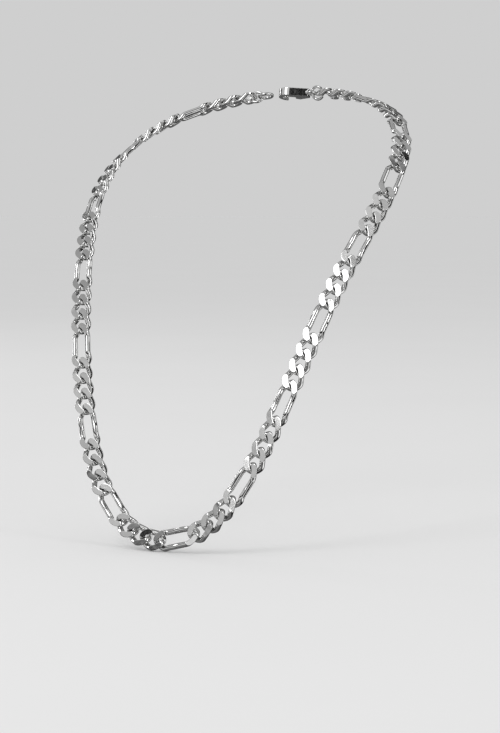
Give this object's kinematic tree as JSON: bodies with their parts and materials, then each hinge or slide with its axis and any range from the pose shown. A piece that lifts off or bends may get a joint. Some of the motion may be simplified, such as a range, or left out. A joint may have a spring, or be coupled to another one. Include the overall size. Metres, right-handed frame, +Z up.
{
  "type": "chain necklace",
  "caption": "Flat-ground Figaro chain necklace of interlinked curb links with a lobster clasp, in its worn shape round a neck.",
  "frame": {"origin": "middle of the neck that the chain lies around, at the height of the shoulders", "axes": "+Z up along the neck; the wearer faces -Y; +X is towards the wearer's left"},
  "size_m": [0.1205, 0.1147, 0.1588],
  "materials": {
    "link_silver": "ground flat and polished, with fine scratches",
    "clasp_silver": "polished",
    "steel": "drawn"
  },
  "bodies": {
    "front_link": {"front_link": "link_silver"},
    "left_short_01": {"left_short_01": "link_silver"},
    "left_short_02": {"left_short_02": "link_silver"},
    "left_short_03": {"left_short_03": "link_silver"},
    "left_long_04": {"left_long_04": "link_silver"},
    "left_short_05": {"left_short_05": "link_silver"},
    "left_short_06": {"left_short_06": "link_silver"},
    "left_short_07": {"left_short_07": "link_silver"},
    "left_long_08": {"left_long_08": "link_silver"},
    "left_short_09": {"left_short_09": "link_silver"},
    "left_short_10": {"left_short_10": "link_silver"},
    "left_short_11": {"left_short_11": "link_silver"},
    "left_long_12": {"left_long_12": "link_silver"},
    "left_short_13": {"left_short_13": "link_silver"},
    "left_short_14": {"left_short_14": "link_silver"},
    "left_short_15": {"left_short_15": "link_silver"},
    "left_long_16": {"left_long_16": "link_silver"},
    "left_short_17": {"left_short_17": "link_silver"},
    "left_short_18": {"left_short_18": "link_silver"},
    "left_short_19": {"left_short_19": "link_silver"},
    "left_long_20": {"left_long_20": "link_silver"},
    "left_shorts_21_to_23": {"left_shorts_21_to_23": "link_silver"},
    "left_long_24": {"left_long_24": "link_silver"},
    "left_shorts_25_to_27": {"left_shorts_25_to_27": "link_silver"},
    "left_long_28": {"left_long_28": "link_silver"},
    "left_shorts_29_to_31": {"left_shorts_29_to_31": "link_silver"},
    "clasp_jump_ring": {"clasp_jump_ring": "clasp_silver"},
    "clasp_body": {"clasp_body": "clasp_silver", "clasp_lever_pin": "steel", "clasp_spring": "steel"},
    "clasp_lever": {"clasp_lever": "clasp_silver"},
    "right_short_01": {"right_short_01": "link_silver"},
    "right_short_02": {"right_short_02": "link_silver"},
    "right_short_03": {"right_short_03": "link_silver"},
    "right_long_04": {"right_long_04": "link_silver"},
    "right_short_05": {"right_short_05": "link_silver"},
    "right_short_06": {"right_short_06": "link_silver"},
    "right_short_07": {"right_short_07": "link_silver"},
    "right_long_08": {"right_long_08": "link_silver"},
    "right_short_09": {"right_short_09": "link_silver"},
    "right_short_10": {"right_short_10": "link_silver"},
    "right_short_11": {"right_short_11": "link_silver"},
    "right_long_12": {"right_long_12": "link_silver"},
    "right_short_13": {"right_short_13": "link_silver"},
    "right_short_14": {"right_short_14": "link_silver"},
    "right_short_15": {"right_short_15": "link_silver"},
    "right_long_16": {"right_long_16": "link_silver"},
    "right_short_17": {"right_short_17": "link_silver"},
    "right_short_18": {"right_short_18": "link_silver"},
    "right_short_19": {"right_short_19": "link_silver"},
    "right_long_20": {"right_long_20": "link_silver"},
    "right_shorts_21_to_23": {"right_shorts_21_to_23": "link_silver"},
    "right_long_24": {"right_long_24": "link_silver"},
    "right_shorts_25_to_27": {"right_shorts_25_to_27": "link_silver"},
    "right_long_28": {"right_long_28": "link_silver"},
    "right_shorts_29_to_31": {"right_shorts_29_to_31": "link_silver"},
    "end_jump_ring": {"end_jump_ring": "clasp_silver"},
    "catch_ring": {"catch_ring": "clasp_silver"}
  },
  "joints": [
    {"name": "left_short_01_hinge", "type": "hinge", "parent": "front_link", "child": "left_short_01", "pos_m": [0.01204, -0.06944, -0.13879], "axis": [-0.4152, 0.2507, 0.8745], "range_deg": [-7, 2]},
    {"name": "left_short_02_hinge", "type": "hinge", "parent": "left_short_01", "child": "left_short_02", "pos_m": [0.01672, -0.06857, -0.13565], "axis": [0.6466, -0.2244, -0.7291], "range_deg": [-15, 15]},
    {"name": "left_short_03_hinge", "type": "hinge", "parent": "left_short_02", "child": "left_short_03", "pos_m": [0.0207, -0.06749, -0.13172], "axis": [-0.7628, 0.2019, 0.6144], "range_deg": [-15, 15]},
    {"name": "left_long_04_hinge", "type": "hinge", "parent": "left_short_03", "child": "left_long_04", "pos_m": [0.02407, -0.06628, -0.12728], "axis": [0.8466, -0.1758, -0.5024], "range_deg": [-15, 15]},
    {"name": "left_short_05_hinge", "type": "hinge", "parent": "left_long_04", "child": "left_short_05", "pos_m": [0.03012, -0.06311, -0.11634], "axis": [-0.904, 0.1449, 0.4022], "range_deg": [-15, 15]},
    {"name": "left_short_06_hinge", "type": "hinge", "parent": "left_short_05", "child": "left_short_06", "pos_m": [0.03231, -0.06154, -0.11132], "axis": [0.9309, -0.1206, -0.3448], "range_deg": [-15, 15]},
    {"name": "left_short_07_hinge", "type": "hinge", "parent": "left_short_06", "child": "left_short_07", "pos_m": [0.03428, -0.05987, -0.10624], "axis": [-0.9432, 0.105, 0.3153], "range_deg": [-15, 15]},
    {"name": "left_long_08_hinge", "type": "hinge", "parent": "left_short_07", "child": "left_long_08", "pos_m": [0.03609, -0.05812, -0.10112], "axis": [0.9526, -0.0898, -0.2905], "range_deg": [-15, 15]},
    {"name": "left_short_09_hinge", "type": "hinge", "parent": "left_long_08", "child": "left_short_09", "pos_m": [0.03983, -0.05392, -0.08951], "axis": [-0.9599, 0.0741, 0.2702], "range_deg": [-15, 15]},
    {"name": "left_short_10_hinge", "type": "hinge", "parent": "left_short_09", "child": "left_short_10", "pos_m": [0.04136, -0.05192, -0.0844], "axis": [0.964, -0.0615, -0.2585], "range_deg": [-15, 15]},
    {"name": "left_short_11_hinge", "type": "hinge", "parent": "left_short_10", "child": "left_short_11", "pos_m": [0.04283, -0.0498, -0.07932], "axis": [-0.9662, 0.0528, 0.2525], "range_deg": [-15, 15]},
    {"name": "left_long_12_hinge", "type": "hinge", "parent": "left_short_11", "child": "left_long_12", "pos_m": [0.04424, -0.04756, -0.07427], "axis": [0.9675, -0.0452, -0.2488], "range_deg": [-15, 15]},
    {"name": "left_short_13_hinge", "type": "hinge", "parent": "left_long_12", "child": "left_short_13", "pos_m": [0.04735, -0.04195, -0.06308], "axis": [-0.9678, 0.0413, 0.2485], "range_deg": [-15, 15]},
    {"name": "left_short_14_hinge", "type": "hinge", "parent": "left_short_13", "child": "left_short_14", "pos_m": [0.04871, -0.03923, -0.05825], "axis": [0.9664, -0.0337, -0.255], "range_deg": [-15, 15]},
    {"name": "left_short_15_hinge", "type": "hinge", "parent": "left_short_14", "child": "left_short_15", "pos_m": [0.05006, -0.03635, -0.05353], "axis": [-0.9637, 0.0168, 0.2665], "range_deg": [-15, 15]},
    {"name": "left_long_16_hinge", "type": "hinge", "parent": "left_short_15", "child": "left_long_16", "pos_m": [0.0514, -0.0333, -0.0489], "axis": [0.9593, 0.0115, -0.2822], "range_deg": [-15, 15]},
    {"name": "left_short_17_hinge", "type": "hinge", "parent": "left_long_16", "child": "left_short_17", "pos_m": [0.05424, -0.02579, -0.0388], "axis": [-0.9522, -0.0588, 0.2999], "range_deg": [-15, 15]},
    {"name": "left_short_18_hinge", "type": "hinge", "parent": "left_short_17", "child": "left_short_18", "pos_m": [0.05531, -0.02221, -0.0345], "axis": [0.9434, 0.1149, -0.3112], "range_deg": [-15, 15]},
    {"name": "left_short_19_hinge", "type": "hinge", "parent": "left_short_18", "child": "left_short_19", "pos_m": [0.05615, -0.01845, -0.03029], "axis": [-0.9322, -0.1753, 0.3166], "range_deg": [-15, 15]},
    {"name": "left_long_20_hinge", "type": "hinge", "parent": "left_short_19", "child": "left_long_20", "pos_m": [0.05668, -0.01454, -0.02618], "axis": [0.9092, 0.2653, -0.3209], "range_deg": [-14, 15]},
    {"name": "left_shorts_21_to_23_hinge", "type": "hinge", "parent": "left_long_20", "child": "left_shorts_21_to_23", "pos_m": [0.0565, -0.00517, -0.01732], "axis": [-0.8685, -0.3751, 0.324], "range_deg": [-15, 13]},
    {"name": "left_long_24_hinge", "type": "hinge", "parent": "left_shorts_21_to_23", "child": "left_long_24", "pos_m": [0.05271, 0.00787, -0.00701], "axis": [0.7381, 0.596, -0.3162], "range_deg": [-12, 15]},
    {"name": "left_shorts_25_to_27_hinge", "type": "hinge", "parent": "left_long_24", "child": "left_shorts_25_to_27", "pos_m": [0.04682, 0.01739, -0.00061], "axis": [-0.6577, -0.6897, 0.3029], "range_deg": [-15, 12]},
    {"name": "left_long_28_hinge", "type": "hinge", "parent": "left_shorts_25_to_27", "child": "left_long_28", "pos_m": [0.03509, 0.02799, 0.00573], "axis": [0.456, 0.8515, -0.259], "range_deg": [-14, 15]},
    {"name": "left_shorts_29_to_31_hinge", "type": "hinge", "parent": "left_long_28", "child": "left_shorts_29_to_31", "pos_m": [0.02412, 0.03403, 0.00886], "axis": [-0.3616, -0.8998, 0.2442], "range_deg": [-15, 14]},
    {"name": "clasp_jump_ring_swing", "type": "hinge", "parent": "left_shorts_29_to_31", "child": "clasp_jump_ring", "pos_m": [0.00785, 0.03863, 0.01094], "axis": [0.1266, 0.966, -0.2255], "range_deg": [-13, 15]},
    {"name": "clasp_swing", "type": "hinge", "parent": "clasp_jump_ring", "child": "clasp_body", "pos_m": [0.00437, 0.039, 0.0111], "axis": [-0.028, -0.9744, 0.2231], "range_deg": [-15, 15]},
    {"name": "clasp_lever_hinge", "type": "hinge", "parent": "clasp_body", "child": "clasp_lever", "pos_m": [-0.00066, 0.03967, 0.01081], "axis": [-0.0265, 0.2201, 0.9751], "range_deg": [0, 25], "stiffness_Nm_per_rad": 0.0006, "springref_deg": -20.05},
    {"name": "right_short_01_hinge", "type": "hinge", "parent": "front_link", "child": "right_short_01", "pos_m": [-0.00047, -0.07033, -0.14183], "axis": [0.0548, -0.2602, -0.964], "range_deg": [-6, 1]},
    {"name": "right_short_02_hinge", "type": "hinge", "parent": "right_short_01", "child": "right_short_02", "pos_m": [-0.00611, -0.07011, -0.14108], "axis": [0.2504, 0.2512, 0.935], "range_deg": [-1, 15]},
    {"name": "right_short_03_hinge", "type": "hinge", "parent": "right_short_02", "child": "right_short_03", "pos_m": [-0.01143, -0.06953, -0.13911], "axis": [-0.4581, -0.2431, -0.855], "range_deg": [-15, 15]},
    {"name": "right_long_04_hinge", "type": "hinge", "parent": "right_short_03", "child": "right_long_04", "pos_m": [-0.01619, -0.06868, -0.13608], "axis": [0.6635, 0.2236, 0.714], "range_deg": [-13, 12]},
    {"name": "right_short_05_hinge", "type": "hinge", "parent": "right_long_04", "child": "right_short_05", "pos_m": [-0.02453, -0.06609, -0.12659], "axis": [-0.8181, -0.1875, -0.5437], "range_deg": [-15, 15]},
    {"name": "right_short_06_hinge", "type": "hinge", "parent": "right_short_05", "child": "right_short_06", "pos_m": [-0.02736, -0.06474, -0.12183], "axis": [0.8837, 0.1577, 0.4407], "range_deg": [-15, 15]},
    {"name": "right_short_07_hinge", "type": "hinge", "parent": "right_short_06", "child": "right_short_07", "pos_m": [-0.02985, -0.06329, -0.11692], "axis": [-0.9107, -0.1397, -0.3888], "range_deg": [-15, 15]},
    {"name": "right_long_08_hinge", "type": "hinge", "parent": "right_short_07", "child": "right_long_08", "pos_m": [-0.03207, -0.06172, -0.1119], "axis": [0.9327, 0.1185, 0.3407], "range_deg": [-15, 15]},
    {"name": "right_short_09_hinge", "type": "hinge", "parent": "right_long_08", "child": "right_short_09", "pos_m": [-0.03635, -0.05786, -0.10036], "axis": [-0.9493, -0.0958, -0.2994], "range_deg": [-15, 15]},
    {"name": "right_short_10_hinge", "type": "hinge", "parent": "right_short_09", "child": "right_short_10", "pos_m": [-0.03804, -0.05604, -0.09523], "axis": [0.9571, 0.0812, 0.2783], "range_deg": [-15, 15]},
    {"name": "right_short_11_hinge", "type": "hinge", "parent": "right_short_10", "child": "right_short_11", "pos_m": [-0.03965, -0.05415, -0.0901], "axis": [-0.9608, -0.0721, -0.2679], "range_deg": [-15, 15]},
    {"name": "right_long_12_hinge", "type": "hinge", "parent": "right_short_11", "child": "right_long_12", "pos_m": [-0.04119, -0.05216, -0.08499], "axis": [0.9643, 0.0602, 0.2577], "range_deg": [-15, 15]},
    {"name": "right_short_13_hinge", "type": "hinge", "parent": "right_long_12", "child": "right_short_13", "pos_m": [-0.04445, -0.04721, -0.07353], "axis": [-0.9671, -0.0478, -0.2499], "range_deg": [-15, 15]},
    {"name": "right_short_14_hinge", "type": "hinge", "parent": "right_short_13", "child": "right_short_14", "pos_m": [-0.04583, -0.04481, -0.06855], "axis": [0.968, 0.0413, 0.2475], "range_deg": [-15, 15]},
    {"name": "right_short_15_hinge", "type": "hinge", "parent": "right_short_14", "child": "right_short_15", "pos_m": [-0.04719, -0.04226, -0.06364], "axis": [-0.9678, -0.0405, -0.2484], "range_deg": [-15, 15]},
    {"name": "right_long_16_hinge", "type": "hinge", "parent": "right_short_15", "child": "right_long_16", "pos_m": [-0.04855, -0.03955, -0.05881], "axis": [0.9658, 0.0286, 0.2579], "range_deg": [-15, 15]},
    {"name": "right_short_17_hinge", "type": "hinge", "parent": "right_long_16", "child": "right_short_17", "pos_m": [-0.05159, -0.03283, -0.04822], "axis": [-0.961, 0.0005, -0.2765], "range_deg": [-15, 15]},
    {"name": "right_short_18_hinge", "type": "hinge", "parent": "right_short_17", "child": "right_short_18", "pos_m": [-0.05288, -0.0296, -0.04371], "axis": [0.9559, -0.0302, 0.2923], "range_deg": [-15, 15]},
    {"name": "right_short_19_hinge", "type": "hinge", "parent": "right_short_18", "child": "right_short_19", "pos_m": [-0.0541, -0.02619, -0.0393], "axis": [-0.9511, 0.0625, -0.3026], "range_deg": [-15, 15]},
    {"name": "right_long_20_hinge", "type": "hinge", "parent": "right_short_19", "child": "right_long_20", "pos_m": [-0.05519, -0.02263, -0.03499], "axis": [0.9413, -0.1296, 0.3117], "range_deg": [-15, 15]},
    {"name": "right_shorts_21_to_23_hinge", "type": "hinge", "parent": "right_long_20", "child": "right_shorts_21_to_23", "pos_m": [-0.05673, -0.01394, -0.02558], "axis": [-0.9185, 0.2332, -0.3193], "range_deg": [-15, 15]},
    {"name": "right_long_24_hinge", "type": "hinge", "parent": "right_shorts_21_to_23", "child": "right_long_24", "pos_m": [-0.05584, -0.00137, -0.01408], "axis": [0.8206, -0.4709, 0.3237], "range_deg": [-15, 15]},
    {"name": "right_shorts_25_to_27_hinge", "type": "hinge", "parent": "right_long_24", "child": "right_shorts_25_to_27", "pos_m": [-0.0524, 0.00852, -0.00654], "axis": [-0.759, 0.5677, -0.3189], "range_deg": [-15, 15]},
    {"name": "right_long_28_hinge", "type": "hinge", "parent": "right_shorts_25_to_27", "child": "right_long_28", "pos_m": [-0.04379, 0.0208, 0.00153], "axis": [0.5737, -0.768, 0.2846], "range_deg": [-14, 15]},
    {"name": "right_shorts_29_to_31_hinge", "type": "hinge", "parent": "right_long_28", "child": "right_shorts_29_to_31", "pos_m": [-0.03441, 0.02845, 0.00598], "axis": [-0.4834, 0.8346, -0.2642], "range_deg": [-15, 15]},
    {"name": "end_jump_ring_swing", "type": "hinge", "parent": "right_shorts_29_to_31", "child": "end_jump_ring", "pos_m": [-0.0195, 0.03584, 0.00971], "axis": [0.2905, -0.9273, 0.2361], "range_deg": [-11, 15]},
    {"name": "catch_ring_swing", "type": "hinge", "parent": "end_jump_ring", "child": "catch_ring", "pos_m": [-0.01619, 0.03688, 0.01018], "axis": [-0.239, 0.943, -0.2317], "range_deg": [-15, 15]}
  ]
}
